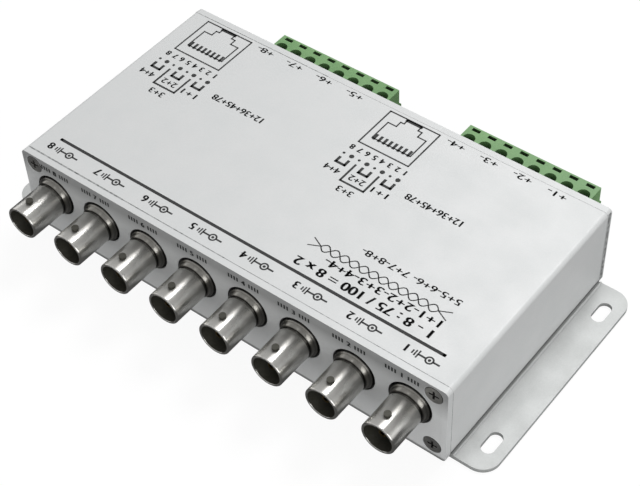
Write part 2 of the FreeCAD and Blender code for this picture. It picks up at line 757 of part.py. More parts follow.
def make_plug(letter, index):
    # The pluggable screw terminal: tongue, tower with wells and windows, and wire entries.
    body = new_body(f"terminal_plug_{letter}")
    outer = "( pole_reach + funnel_reach )"
    profile = new_sketch(body, "YZ_Plane")
    draw_polygon(profile, [
        ("pole_gap", "-1 * pole_drop"),
        ("pole_reach", "-1 * pole_drop"),
        (outer, "funnel_reach - pole_drop"),
        (outer, "funnel_height - funnel_reach"),
        ("pole_reach", "funnel_height"),
        ("pole_reach", "pole_top"),
        ("pole_gap", "pole_top"),
    ])
    pad(body, profile, plug_row_width, both=True)
    tongue = new_sketch(body, "XZ_Plane", out="tongue_length")
    draw_centred(
        tongue,
        f"( {header_width} - 2 * header_wall - 2 * tongue_gap )",
        "header_wall + tongue_gap",
        "header_height - header_wall - tongue_gap",
    )
    pad(body, tongue, "tongue_length + pole_gap", back=True)

    well = new_sketch(body, "XY_Plane", x=first_way, out="pole_top")
    draw_circle(well, "0", "well_y", "well_radius")
    sunk = pocket(body, well, "pole_top - entry_floor - entry_height")
    row_of(body, [sunk], "X_Axis", ways, row_length)

    window = new_sketch(body, "XY_Plane", x=first_way, y="pole_reach - window_inset", out="pole_top")
    draw_centred(window, "window_width", "-1 * window_length / 2", "window_length / 2")
    cut = pocket(body, window, "window_depth")
    row_of(body, [cut], "X_Axis", ways, row_length)

    entry = new_sketch(body, "XZ_Plane", x=first_way, out=negative(outer))
    draw_centred(entry, "entry_width", "entry_floor", "entry_floor + entry_height")
    opened = pocket(body, entry, f"{outer} - well_y + clamp_depth / 2 + snug", back=True)
    row_of(body, [opened], "X_Axis", ways, row_length)

    # The pins and the contact strips share one channel through the tongue.
    channel = new_sketch(body, "XZ_Plane", x=first_way, out="tongue_length")
    draw_centred(
        channel,
        "( strip_width + play )",
        "pin_height - pin_side / 2 - strip_thickness - snug",
        "pin_height + pin_side / 2 + play",
    )
    bored = pocket(body, channel, "tongue_length + well_y - clamp_depth / 2")
    row_of(body, [bored], "X_Axis", ways, row_length)
    set_place(body, index)
    return body


def make_wire_clamps(letter, index):
    # Cages with a threaded roof, one in each wire entry.
    body = new_body(f"wire_clamps_{letter}")
    low = "entry_floor + snug"
    high = "entry_floor + entry_height - snug"
    front = "( well_y - clamp_depth / 2 )"
    cage = new_sketch(body, "XZ_Plane", x=first_way, out=negative(front))
    draw_centred(cage, "( entry_width - 2 * snug )", low, high)
    draw_centred(
        cage,
        "( entry_width - 2 * snug - 2 * clamp_wall )",
        "entry_floor + snug + clamp_wall",
        "entry_floor + entry_height - snug - clamp_roof",
    )
    frame = pad(body, cage, "clamp_depth", back=True)
    thread = new_sketch(body, "XY_Plane", x=first_way, out=high)
    draw_square(thread, "0", "well_y", "( pole_screw_radius + snug )")
    tapped = pocket(body, thread, "clamp_roof")
    row_of(body, [frame, tapped], "X_Axis", ways, row_length)
    set_place(body, index)
    return body


def make_clamp_screws(letter, index):
    body = new_body(f"clamp_screws_{letter}")
    tip = "pin_height - pin_side / 2 + snug"
    under = "entry_floor + entry_height + pole_head_gap"
    over = "entry_floor + entry_height + pole_head_gap + pole_head_height"
    outline = new_sketch(body, "XZ_Plane", x=first_way, out="-1 * well_y")
    draw_polygon(outline, [
        ("0", tip),
        ("pole_screw_radius", tip),
        ("pole_screw_radius", under),
        ("pole_head_radius", under),
        ("pole_head_radius", over),
        ("0", over),
    ])
    screw = turn(body, "Revolution", outline)
    slot = new_sketch(body, "XY_Plane", x=first_way, y="well_y", out=over)
    draw_centred(slot, "pole_slot_width", "-1 * pole_head_radius", "pole_head_radius")
    cut = pocket(body, slot, "pole_slot_depth")
    row_of(body, [screw, cut], "X_Axis", ways, row_length)
    set_place(body, index)
    return body


def make_plug_contacts(letter, index):
    # Flat strips that carry each pin into its clamp, under the screw's tip.
    body = new_body(f"plug_contacts_{letter}")
    low = "pin_height - pin_side / 2 - strip_thickness"
    outline = new_sketch(body, "XY_Plane", x=first_way, out=low)
    draw_centred(outline, "strip_width", "strip_setback - tongue_length", "well_y + clamp_depth / 4")
    strip = pad(body, outline, "strip_thickness")
    row_of(body, [strip], "X_Axis", ways, row_length)
    set_place(body, index)
    return body


# The balun transformers: a square ferrite core for each channel, flat on the board, with a
# coil on each of the two legs that run along y.
def make_core(number):
    body = new_body(f"balun_core_{number}")
    outline = new_sketch(body, "XY_Plane", out="winding")
    draw_square(outline, "0", "0", "( core_span / 2 )")
    draw_square(outline, "0", "0", "( core_span / 2 - core_leg )")
    pad(body, outline, "core_height")
    place(body, socket_x(number), "0", board_top)
    return body


def make_windings():
    body = new_body("balun_windings")
    section = new_sketch(body, "XZ_Plane")
    for sign in (-1, 1):
        leg = f"{sign} * ( core_span - core_leg ) / 2"
        outer, inner = "( core_leg / 2 + winding )", "( core_leg / 2 + snug )"
        draw_rectangle(section, f"{leg} - {outer}", "0", f"{leg} + {outer}", "2 * winding + core_height")
        draw_rectangle(
            section, f"{leg} - {inner}", "winding - snug", f"{leg} + {inner}", "winding + core_height + snug")
    coils = pad(body, section, "winding_length", both=True)
    row_of(body, [coils], "X_Axis", channels, socket_row)
    place(body, first_socket, "0", board_top)
    return body


nodes = [
    make_cover(),
    make_base(),
    make_front_panel(),
    make_rear_panel(),
    make_panel_screws("front_screws", -1),
    make_panel_screws("rear_screws", 1),
    make_board(),
    make_standoffs(),
    make_board_screws(),
    make_windings(),
]
for number in range(1, channels + 1):
    nodes += [make_bnc_shell(number), make_bnc_insulator(number), make_bnc_contact(number)]
    nodes += [make_core(number)]
for index, letter in enumerate("ab"):
    nodes += [make_jack(letter, index), make_jack_wires(letter, index)]
    nodes += [make_header(letter, index), make_header_pins(letter, index)]
    nodes += [make_plug(letter, index), make_plug_contacts(letter, index)]
    nodes += [make_wire_clamps(letter, index), make_clamp_screws(letter, index)]

doc.recompute()

# Nothing is written unless every object and every shape is sound.
for item in doc.Objects:
    if {"Invalid", "Error"} & set(item.State):
        raise RuntimeError(f"{item.Name} failed: {item.getStatusString()}")
    if item.TypeId in ("PartDesign::Pocket", "PartDesign::Groove"):
        removed = item.BaseFeature.Shape.Volume - item.Shape.Volume
        if removed < 1e-6:
            raise RuntimeError(f"{item.Name} cuts nothing")
for node in nodes:
    if node.Shape.isNull() or not node.Shape.isValid():
        raise RuntimeError(f"{node.Label} has no valid shape")

os.makedirs("parts", exist_ok=True)
for node in nodes:
    node.Shape.exportStep(f"parts/{node.Label}.step")
print(len(nodes), "nodes,", sum(len(node.Shape.Solids) for node in nodes), "solids")
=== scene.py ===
# Looks of an eight-channel passive video balun in an extruded aluminium case.
# Lengths in the dictionaries are millimetres and angles are degrees, unless a note says otherwise.
import math

import bmesh
import bpy
from mathutils import Matrix, Vector


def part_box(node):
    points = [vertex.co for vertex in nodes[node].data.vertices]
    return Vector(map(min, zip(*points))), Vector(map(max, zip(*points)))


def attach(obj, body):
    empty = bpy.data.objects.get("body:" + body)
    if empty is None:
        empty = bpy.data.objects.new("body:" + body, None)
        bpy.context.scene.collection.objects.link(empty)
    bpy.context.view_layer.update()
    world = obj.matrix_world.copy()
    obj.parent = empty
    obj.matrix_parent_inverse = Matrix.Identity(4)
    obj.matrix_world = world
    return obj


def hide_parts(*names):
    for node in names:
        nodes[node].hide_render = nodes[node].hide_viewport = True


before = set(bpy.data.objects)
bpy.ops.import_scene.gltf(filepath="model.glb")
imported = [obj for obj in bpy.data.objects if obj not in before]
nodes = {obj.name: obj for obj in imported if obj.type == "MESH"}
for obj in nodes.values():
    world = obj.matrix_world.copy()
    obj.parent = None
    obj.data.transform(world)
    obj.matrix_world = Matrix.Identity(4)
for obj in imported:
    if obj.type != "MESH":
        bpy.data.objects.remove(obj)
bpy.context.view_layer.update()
mm = 0.001
channels = 8

# What all finishes share. Colour turns to fleck between the two noise values of spread, and
# painted shade in corners ends between the two values of hollow, which say how open a corner is.
pattern = {
    "spread": (0.35, 0.65),
    "hollow": (0.35, 0.95),
    "hollowRays": 8,
    "grainDetail": 3.0,
    "grainRoughness": 0.6,
    "mottleDetail": 2.0,
    "bumpStrength": 0.5,
    "turning": {"X": 0.03, "Y": 1.0, "Z": 0.02},
}


def linear(hexText):
    # Turns an sRGB hex colour into linear red, green, blue and alpha.
    channels = [int(hexText[start:start + 2], 16) / 255 for start in (1, 3, 5)]
    return [c / 12.92 if c <= 0.04045 else ((c + 0.055) / 1.055) ** 2.4 for c in channels] + [1.0]


def addNode(tree, kind, settings, links=()):
    # Settings are properties, or sockets by name or number. Links are socket to source.
    node = tree.nodes.new("ShaderNode" + kind)
    for key, value in settings.items():
        if isinstance(key, int) or key in node.inputs:
            node.inputs[key].default_value = value
        else:
            setattr(node, key, value)
    for socket, source in dict(links).items():
        tree.links.new(source, node.inputs[socket])
    return node


def makeMaterial(name, look):
    # Every finish has a slow mottle, a fine grain and uneven roughness, each of a real size.
    # Corners give how far painted shade reaches from a hollow and how dark it is. Bands give the
    # heights where a strip of painted shade starts and is full, and how dark it is. Turned is the pull
    # of turning marks that run round the y axis.
    material = bpy.data.materials.new(name)
    material.use_nodes = True
    tree = material.node_tree
    shader = tree.nodes["Principled BSDF"]
    place = addNode(tree, "TexCoord", {}).outputs["Object"]
    stretched = addNode(tree, "Mapping", {"Scale": look.get("stretch", (1, 1, 1))}, {"Vector": place})
    fine = {"Detail": pattern["grainDetail"], "Roughness": pattern["grainRoughness"]}
    grain = addNode(
        tree, "TexNoise", {"Scale": 1 / (look["grain"] * mm), **fine}, {"Vector": stretched.outputs[0]})
    mottle = addNode(
        tree, "TexNoise", {"Scale": 1 / (look["mottle"] * mm), "Detail": pattern["mottleDetail"]},
        {"Vector": place})
    half = addNode(tree, "Math", {"operation": "MULTIPLY", 1: 0.5}, {0: mottle.outputs[0]})
    uneven = addNode(
        tree, "Math", {"operation": "MULTIPLY_ADD", 1: 0.5}, {0: grain.outputs[0], 2: half.outputs[0]})
    least, most = pattern["spread"]
    spread = addNode(
        tree, "MapRange", {"From Min": least, "From Max": most}, {"Value": uneven.outputs[0]})
    colours = {6: linear(look["colour"]), 7: linear(look["fleck"])}
    shown = addNode(tree, "Mix", {"data_type": "RGBA", **colours}, {0: spread.outputs[0]}).outputs[2]
    low, high = look["roughness"]
    rough = addNode(
        tree, "MapRange", {"From Min": least, "From Max": most, "To Min": low, "To Max": high},
        {"Value": uneven.outputs[0]})
    bump = addNode(
        tree, "Bump", {"Strength": pattern["bumpStrength"], "Distance": look["depth"] * mm},
        {"Height": grain.outputs[0]})

    # Painted shade: each of these darkens the colour itself, in hollows or by height.
    shades = []
    for reach, shade in look.get("corners", ()):
        hollow = addNode(
            tree, "AmbientOcclusion", {"samples": pattern["hollowRays"], "Distance": reach * mm})
        shades.append((hollow.outputs["AO"], *pattern["hollow"], shade, 1.0))
    for start, end, shade in look.get("paintedShadeBands", ()):
        height = addNode(tree, "SeparateXYZ", {}, {0: place}).outputs["Z"]
        shades.append((height, start * mm, end * mm, 1.0, shade))
    for source, start, end, first, last in shades:
        fall = addNode(
            tree, "MapRange", {"From Min": start, "From Max": end, "To Min": first, "To Max": last},
            {"Value": source})
        shown = addNode(
            tree, "Mix", {"data_type": "RGBA", "blend_type": "MULTIPLY", 0: 1.0},
            {6: shown, 7: fall.outputs[0]}).outputs[2]

    tree.links.new(shown, shader.inputs["Base Color"])
    tree.links.new(rough.outputs[0], shader.inputs["Roughness"])
    tree.links.new(bump.outputs[0], shader.inputs["Normal"])
    shader.inputs["Metallic"].default_value = look["metallic"]
    if "turned" in look:
        along = addNode(tree, "CombineXYZ", pattern["turning"])
        tree.links.new(along.outputs[0], shader.inputs["Tangent"])
        shader.inputs["Anisotropic"].default_value = look["turned"]
    if "ior" in look:
        shader.inputs["IOR"].default_value = look["ior"]
    return material


# Bead-blasted, clear-anodised aluminium: a soft satin grey that scatters light more than it
# mirrors, with a grain drawn a little coarser than real bead marks so that it shows. Shade is
# painted into joints and inner corners, so they read as thin dark lines.
beadBlastedAnodisedAluminium = makeMaterial("beadBlastedAnodisedAluminium", {
    "colour": "#D9DADA",
    "fleck": "#D3D5D5",
    "metallic": 0.15,
    "roughness": (0.48, 0.6),
    "grain": 0.3,
    "depth": 0.012,
    "mottle": 9.0,
    "corners": ((0.9, 0.35),),
})

# Rolled sheet of the base plate, blasted and anodised the same way: painted shade lies in the joint
# and, wider, in the long corner between ear and wall, so each ear darkens softly towards the case.
beadBlastedAluminiumSheet = makeMaterial("beadBlastedAluminiumSheet", {
    "colour": "#CDCFCE",
    "fleck": "#C4C6C5",
    "metallic": 0.15,
    "roughness": (0.48, 0.6),
    "grain": 0.35,
    "depth": 0.012,
    "mottle": 7.0,
    "corners": ((0.6, 0.3), (8.0, 0.72)),
})

# Cut plate of the two ends: its colour is painted paler, as painted light on the lower face,
# with painted shade along its upper edge and a painted shadow line along its foot.
paintedShadeAluminiumPlate = makeMaterial("paintedShadeAluminiumPlate", {
    "colour": "#F4F5F5",
    "fleck": "#EAECEC",
    "metallic": 0.15,
    "roughness": (0.48, 0.6),
    "grain": 0.3,
    "depth": 0.012,
    "mottle": 8.0,
    "corners": ((0.9, 0.35),),
    "paintedShadeBands": ((16.0, 24.0, 0.42), (1.3, 0.5, 0.35)),
})

# Bright nickel plate on turned brass: grey mirror. The turning marks run round the barrel
# and draw each highlight out along it.
brightNickelPlate = makeMaterial("brightNickelPlate", {
    "colour": "#EAE9E5",
    "fleck": "#D9D7D2",
    "metallic": 1.0,
    "roughness": (0.26, 0.35),
    "grain": 0.5,
    "depth": 0.006,
    "mottle": 3.0,
    "stretch": (1, 8, 1),
    # Painted shade darkens the nickel within about a millimetre of a hollow.
    "corners": ((1.2, 0.3),),
    "turned": 0.92,
})

# The same plate on ring and collar, painted darker as painted shade for the shadow beside the barrel, with
# deep painted shade in its hollows.
paintedShadeNickelCollar = makeMaterial("paintedShadeNickelCollar", {
    "colour": "#A9A7A2",
    "fleck": "#918F89",
    "metallic": 1.0,
    "roughness": (0.27, 0.36),
    "grain": 0.5,
    "depth": 0.006,
    "mottle": 2.0,
    "stretch": (1, 8, 1),
    "corners": ((1.6, 0.12),),
    "turned": 0.92,
})

# The same plate inside the mouth and on the lugs, painted dark and dull as painted shade for the shade in
# the bore and on the small lugs.
paintedShadeNickelBore = makeMaterial("paintedShadeNickelBore", {
    "colour": "#4B4A44",
    "fleck": "#39382F",
    "metallic": 0.5,
    "roughness": (0.45, 0.6),
    "grain": 0.4,
    "depth": 0.006,
    "mottle": 2.0,
})

# Gold flash on the centre contacts: yellow, satin and browned with handling.
goldPlatedContact = makeMaterial("goldPlatedContact", {
    "colour": "#8C7440",
    "fleck": "#6E5A30",
    "metallic": 1.0,
    "roughness": (0.2, 0.32),
    "grain": 0.3,
    "depth": 0.004,
    "mottle": 1.5,
})

# Turned insulator plastic: dark and dull, nearly black in the shade of the mouth.
turnedBlackInsulator = makeMaterial("turnedBlackInsulator", {
    "colour": "#4C4A42",
    "fleck": "#58564C",
    "metallic": 0.0,
    "roughness": (0.45, 0.6),
    "grain": 0.3,
    "depth": 0.01,
    "mottle": 2.0,
    "ior": 1.5,
})

# Moulded nylon of the RJ45 housings: black with a spark-eroded texture.
mouldedBlackNylon = makeMaterial("mouldedBlackNylon", {
    "colour": "#1D1E1F",
    "fleck": "#26282A",
    "metallic": 0.0,
    "roughness": (0.38, 0.55),
    "grain": 0.25,
    "depth": 0.02,
    "mottle": 6.0,
    "ior": 1.53,
})

# Moulded green polyamide of the terminals: slightly glossy, with paler flow marks.
mouldedGreenPolyamide = makeMaterial("mouldedGreenPolyamide", {
    "colour": "#709C66",
    "fleck": "#7EAA70",
    "metallic": 0.0,
    "roughness": (0.36, 0.5),
    "grain": 0.5,
    "depth": 0.01,
    "mottle": 7.0,
    "ior": 1.53,
    # Painted shade darkens the plastic up to three millimetres from a hollow.
    "corners": ((3.0, 0.2),),
})

# Tinned brass of pins, strips and cages: pale grey, uneven where the tin flowed.
tinnedBrass = makeMaterial("tinnedBrass", {
    "colour": "#B9B8B2",
    "fleck": "#A19F97",
    "metallic": 1.0,
    "roughness": (0.3, 0.45),
    "grain": 0.6,
    "depth": 0.006,
    "mottle": 2.0,
})

# Black zinc on pressed steel screws: dark, rubbed grey on the heads, with painted shade that turns the
# recess black.
blackZincSteel = makeMaterial("blackZincSteel", {
    "colour": "#908F8D",
    "fleck": "#A5A4A1",
    "metallic": 0.8,
    "roughness": (0.35, 0.5),
    "grain": 0.3,
    "depth": 0.01,
    "mottle": 1.5,
    "corners": ((1.2, 0.15),),
})

# Solder mask over glass cloth: green gloss with the weave just showing through.
greenSolderMask = makeMaterial("greenSolderMask", {
    "colour": "#1F5A38",
    "fleck": "#2B6B45",
    "metallic": 0.0,
    "roughness": (0.25, 0.38),
    "grain": 0.8,
    "depth": 0.01,
    "mottle": 5.0,
    "ior": 1.5,
})

# Sintered ferrite: dark grey and dull with pressed-powder pores.
sinteredFerrite = makeMaterial("sinteredFerrite", {
    "colour": "#2C2B2A",
    "fleck": "#383634",
    "metallic": 0.0,
    "roughness": (0.6, 0.8),
    "grain": 0.25,
    "depth": 0.04,
    "mottle": 2.0,
    "ior": 1.7,
})

# Enamelled copper wire wound in layers: the stretched grain stands for the turns of wire.
enamelledCopperWire = makeMaterial("enamelledCopperWire", {
    "colour": "#A8552B",
    "fleck": "#7D3B1C",
    "metallic": 0.9,
    "roughness": (0.25, 0.4),
    "grain": 2.4,
    "depth": 0.1,
    "mottle": 3.0,
    "stretch": (1, 9, 1),
})

# Shaded gaps between cover and end plates: dark, broken up where the edges touch.
shadedJointGap = makeMaterial("shadedJointGap", {
    "colour": "#3E4140",
    "fleck": "#BCBEBE",
    "metallic": 0.0,
    "roughness": (0.6, 0.8),
    "grain": 0.9,
    "depth": 0.01,
    "mottle": 1.4,
})

# Screen-printed ink: matt black with slightly thin spots from the mesh.
blackScreenInk = makeMaterial("blackScreenInk", {
    "colour": "#1E1F1F",
    "fleck": "#313232",
    "metallic": 0.0,
    "roughness": (0.6, 0.75),
    "grain": 0.25,
    "depth": 0.004,
    "mottle": 3.0,
    "ior": 1.5,
})

finishes = {
    "anodised_aluminium": beadBlastedAnodisedAluminium,
    "zinc_steel": blackZincSteel,
    "circuit_laminate": greenSolderMask,
    "nickel_plate": brightNickelPlate,
    "black_insulator": turnedBlackInsulator,
    "gold_plate": goldPlatedContact,
    "black_plastic": mouldedBlackNylon,
    "green_plastic": mouldedGreenPolyamide,
    "tinned_brass": tinnedBrass,
    "ferrite": sinteredFerrite,
    "enamelled_copper": enamelledCopperWire,
}

# Edges: the angle from which shading breaks, the angle from which an edge is bevelled and the
# bevel's segments, how near corners are to be welded, and the angle that still counts as flat.
edges = {
    "crease": 28.0,
    "bevelled": 35.0,
    "segments": 2,
    "weld": 0.0005,
    "flat": 0.5,
}


def smoothMesh(mesh):
    mesh.polygons.foreach_set("use_smooth", [True] * len(mesh.polygons))
    mesh.set_sharp_from_angle(angle=math.radians(edges["crease"]))


slotOf = {}
for name, node in nodes.items():
    slotOf[name] = node.material_slots[0].material.name
    node.material_slots[0].material = finishes[slotOf[name]]
    smoothMesh(node.data)
print("materials are ready")


def addObject(name, mesh, material):
    # A new piece, which rides on the one body and takes the finish it is given.
    piece = bpy.data.objects.new(name, mesh)
    bpy.context.scene.collection.objects.link(piece)
    mesh.materials.clear()
    mesh.materials.append(material)
    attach(piece, "root")
    return piece


def weldMesh(bm):
    bmesh.ops.remove_doubles(bm, verts=bm.verts, dist=edges["weld"] * mm)


def cleanMesh(bm):
    # Welds the imported corners and joins the triangles of each flat face.
    weldMesh(bm)
    flat = math.radians(edges["flat"])
    bmesh.ops.dissolve_limit(bm, angle_limit=flat, verts=bm.verts, edges=bm.edges)


def bevelPiece(piece, width):
    smoothMesh(piece.data)
    bevel = piece.modifiers.new("edges", "BEVEL")
    bevel.width = width * mm
    bevel.segments = edges["segments"]
    bevel.limit_method = "ANGLE"
    bevel.angle_limit = math.radians(edges["bevelled"])
    bevel.harden_normals = True


def finishedCopy(nodeName, pieceName, width, finish=None):
    # A copy of a CAD piece with broken edges, shown in its place.
    bm = bmesh.new()
    bm.from_mesh(nodes[nodeName].data)
    cleanMesh(bm)
    mesh = bpy.data.meshes.new(pieceName)
    bm.to_mesh(mesh)
    bm.free()
    slotName = slotOf[nodeName]
    piece = addObject(pieceName, mesh, finish or finishes[slotName])
    bevelPiece(piece, width)
    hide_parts(nodeName)
    return piece


# Case: the edges of cut extrusions and plates are tumbled, so each has a thin bright line. A
# face of an end plate takes the plate's painted shade if it looks outward more than outward says.
case = {
    "height": 26.6,
    "halfWidth": 68.3,
    "frontFace": -36.0,
    "joint": 34.0,
    "coverEdge": 0.12,
    "baseEdge": 0.2,
    "panelEdge": 0.18,
    "screwEdge": 0.15,
    "outward": 0.9,
}
finishedCopy("cover", "coverShell", case["coverEdge"])
finishedCopy("base", "basePlate", case["baseEdge"], beadBlastedAluminiumSheet)
for side, ahead in (("front", -1), ("rear", 1)):
    plate = finishedCopy(side + "_panel", side + "Plate", case["panelEdge"])
    plate.data.materials.append(paintedShadeAluminiumPlate)
    for face in plate.data.polygons:
        face.material_index = 1 if face.normal.y * ahead > case["outward"] else 0
for side in ("front", "rear"):
    finishedCopy(side + "_screws", side + "CornerScrews", case["screwEdge"])
print("the case is ready")

# Terminals: moulded edges are rounder than metal ones.
terminals = {
    "mouldedEdge": 0.25,
    "headerEdge": 0.15,
    "metalEdge": 0.08,
}
for letter in "ab":
    finishedCopy("terminal_plug_" + letter, "greenPlug" + letter.upper(), terminals["mouldedEdge"])
    finishedCopy("terminal_header_" + letter, "greenHeader" + letter.upper(), terminals["headerEdge"])
    finishedCopy("rj45_housing_" + letter, "networkJack" + letter.upper(), terminals["headerEdge"])
    finishedCopy("clamp_screws_" + letter, "clampScrews" + letter.upper(), terminals["metalEdge"])
print("the terminals are ready")

# BNC sockets: turned barrels with a groove, a ring and round rims. Places along the axis count
# from the front plate's face, and are negative ahead of it. Skin and faceSkin say how near a
# point and a face's middle lie to a turned surface. The last span is where the collar's painted shade
# goes.
socket = {
    "segments": 96,
    "rim": 0.3,
    "rimPoints": 5,
    "mouth": -12.9,
    "bore": 4.05,
    "barrel": 4.8,
    "grooveRadius": 4.4,
    "groove": (-2.3, -1.6),
    "grooveSlope": 0.1,
    "ringRadius": 5.15,
    "ring": (-1.6, -0.5),
    "ringChamfer": 0.15,
    "collarRadius": 5.7,
    "collarChamfer": 0.25,
    "back": 2.1,
    "blockBack": 11.6,
    "skin": 0.01,
    "faceSkin": 0.02,
    "collarShadeSpan": (-2.5, 1.0),
}


def arc(centre, radius, first, last):
    # Points of a rounded edge, as radius and place along the axis.
    steps = socket["rimPoints"]
    turns = [math.radians(first + (last - first) * step / (steps - 1)) for step in range(steps)]
    return [(centre[0] + radius * math.cos(turn), centre[1] + radius * math.sin(turn)) for turn in turns]


def socketProfile():
    # Radius and place along the axis, from the rear of the bore round the mouth to the block.
    s = socket
    inner, outer = s["rim"] / 2, s["rim"]
    low, high = s["groove"]
    start, end = s["ring"]
    ring, bevel = s["ringRadius"], s["ringChamfer"]
    collar, chamfer = s["collarRadius"], s["collarChamfer"]
    outline = [(s["bore"], s["blockBack"])]
    outline += arc((s["bore"] + inner, s["mouth"] + inner), inner, 180, 270)
    outline += arc((s["barrel"] - outer, s["mouth"] + outer), outer, 270, 360)
    outline += [(s["barrel"], low - s["grooveSlope"]), (s["grooveRadius"], low), (s["grooveRadius"], high)]
    outline += [(ring - bevel, high), (ring, high + bevel), (ring, end)]
    outline += [(collar - chamfer, end), (collar, end + chamfer), (collar, s["back"])]
    return outline


def addLathe(bm, outline, segments):
    # Turns a profile round the y axis.
    turns = [2 * math.pi * step / segments for step in range(segments)]
    rings = []
    for radius, along in outline:
        places = [(radius * math.cos(turn), along, radius * math.sin(turn)) for turn in turns]
        rings.append([bm.verts.new(Vector(place) * mm) for place in places])
    for first, second in zip(rings, rings[1:]):
        for step in range(segments):
            after = (step + 1) % segments
            bm.faces.new((first[step], first[after], second[after], second[step]))


def socketAxis(number):
    # The point where the axis of a socket passes through the face of the front plate.
    low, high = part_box(f"bnc_insulator_{number}")
    return Vector(((low.x + high.x) / 2, case["frontFace"] * mm, (low.z + high.z) / 2))


def socketMesh():
    # Keeps the CAD block, lugs and posts, and turns the barrel anew with finer detail.
    bm = bmesh.new()
    bm.from_mesh(nodes["bnc_shell_1"].data)
    weldMesh(bm)
    bmesh.ops.translate(bm, verts=bm.verts, vec=-socketAxis(1))
    turned = [socket[size] * mm for size in ("bore", "barrel", "collarRadius")]

    def onTurnedPart(vertex):
        offAxis = math.hypot(vertex.co.x, vertex.co.z)
        return min(abs(offAxis - size) for size in turned) < socket["skin"] * mm

    gone = [face for face in bm.faces if all(onTurnedPart(vertex) for vertex in face.verts)]
    bmesh.ops.delete(bm, geom=gone, context="FACES")
    cleanMesh(bm)
    addLathe(bm, socketProfile(), socket["segments"])
    bmesh.ops.recalc_face_normals(bm, faces=bm.faces)
    mesh = bpy.data.meshes.new("bncShell")
    bm.to_mesh(mesh)
    bm.free()
    smoothMesh(mesh)
    return mesh


shellMesh = socketMesh()
for number in range(1, channels + 1):
    piece = addObject(f"bncSocket{number}", shellMesh, brightNickelPlate)
    piece.location = socketAxis(number)
    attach(piece, "root")
    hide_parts(f"bnc_shell_{number}")
# The bore and lugs take their dark painted shade, and ring and collar their own painted shade.
shellMesh.materials.append(paintedShadeNickelBore)
shellMesh.materials.append(paintedShadeNickelCollar)
start, end = socket["collarShadeSpan"]
for face in shellMesh.polygons:
    offAxis, along = math.hypot(face.center.x, face.center.z) / mm, face.center.y / mm
    inBore = offAxis < socket["bore"] + socket["faceSkin"] and along < 0
    onLug = offAxis > socket["barrel"] + socket["faceSkin"] and along < start
    onCollar = start < along < end and not inBore
    face.material_index = 1 if inBore or onLug else 2 if onCollar else 0
print("the sockets are ready")

# Print: black ink on the lid, upright as seen from the rear, and on the front plate. A size is
# height, width and boldness, and a line of wiring has its figures and its middle before them.
ink = {
    "lift": 0.02,
    "discSides": 24,
    "capHeight": 0.7,
    "line": {"left": -61.9, "right": 61.0, "row": -27.1, "width": 0.9},
    "videoRow": -30.4,
    "videoPlaces": (56.8, 40.4, 24.1, 7.6, -8.9, -25.2, -41.7, -58.4),
    "channelRow": 32.2,
    "channelPlaces": (54.3, 44.0, 33.7, 23.5, -9.7, -20.1, -30.4, -40.6),
    "channelSize": (1.9, 5.4, 0.15),
    "pictogramPlaces": (0.0, -64.2),
    "wiring": (
        ("1 - 8 : 75 / 100 = 8 x 2", 34.7, -23.9, 2.7, 40.6, 0.35),
        ("1+1-2+2-3+3-4+4-", 37.9, -20.1, 2.4, 34.2, 0.25),
        ("5+5-6+6- 7+7-8+8-", 40.7, -12.0, 2.0, 29.2, 0.15),
    ),
}
inkMesh = bmesh.new()


def inkStroke(points, width, closed=False):
    # Flat strips along a line, each a little longer than its run so that corners close.
    corners = [Vector((x, y, 0)) for x, y in points]
    if closed:
        corners.append(corners[0])
    for start, end in zip(corners, corners[1:]):
        along = (end - start).normalized() * width / 2
        across = Vector((-along.y, along.x, 0))
        quad = (start - along - across, end + along - across, end + along + across, start - along + across)
        inkMesh.faces.new([inkMesh.verts.new(corner) for corner in quad])


def inkDisc(x, y, outer, inner=0.0):
    sides = ink["discSides"]
    angles = [2 * math.pi * step / sides for step in range(sides)]
    rim = [inkMesh.verts.new((x + outer * math.cos(a), y + outer * math.sin(a), 0)) for a in angles]
    if inner == 0:
        inkMesh.faces.new(rim)
        return
    hole = [inkMesh.verts.new((x + inner * math.cos(a), y + inner * math.sin(a), 0)) for a in angles]
    for step in range(sides):
        after = (step + 1) % sides
        inkMesh.faces.new((rim[step], rim[after], hole[after], hole[step]))


def inkText(text, x, y, height, width=None, bold=0.0, turn=180):
    # Sets plain figures of a given height, centred on a point, and fits them to a width. Bold
    # ones are set three times, side by side.
    curve = bpy.data.curves.new("figures", "FONT")
    curve.body = text
    curve.size = 1.0
    curve.fill_mode = "FRONT"
    setter = bpy.data.objects.new("figures", curve)
    bpy.context.scene.collection.objects.link(setter)
    bpy.context.view_layer.update()
    mesh = bpy.data.meshes.new_from_object(setter.evaluated_get(bpy.context.evaluated_depsgraph_get()))
    bpy.data.objects.remove(setter)
    left, right = [pick(v.co.x for v in mesh.vertices) for pick in (min, max)]
    scaleY = height / ink["capHeight"]
    scaleX = scaleY if width is None else width / (right - left)
    middle = Matrix.Translation((-(left + right) / 2, -ink["capHeight"] / 2, 0))
    spin = Matrix.Rotation(math.radians(turn), 4, "Z")
    turned = spin @ Matrix.Diagonal((scaleX, scaleY, 1, 1)) @ middle
    mesh.transform(Matrix.Translation((x - bold / 2, y, 0)) @ turned)
    inkMesh.from_mesh(mesh)
    for _ in range(2 if bold else 0):
        mesh.transform(Matrix.Translation((bold / 2, 0, 0)))
        inkMesh.from_mesh(mesh)
    bpy.data.meshes.remove(mesh)


def inkPiece(name, placement, material=blackScreenInk):
    # Moves what has been drawn, in millimetres, on to a face of the case.
    mesh = bpy.data.meshes.new(name)
    bmesh.ops.recalc_face_normals(inkMesh, faces=inkMesh.faces)
    inkMesh.to_mesh(mesh)
    inkMesh.clear()
    mesh.transform(placement @ Matrix.Scale(mm, 4))
    return addObject(name, mesh, material)


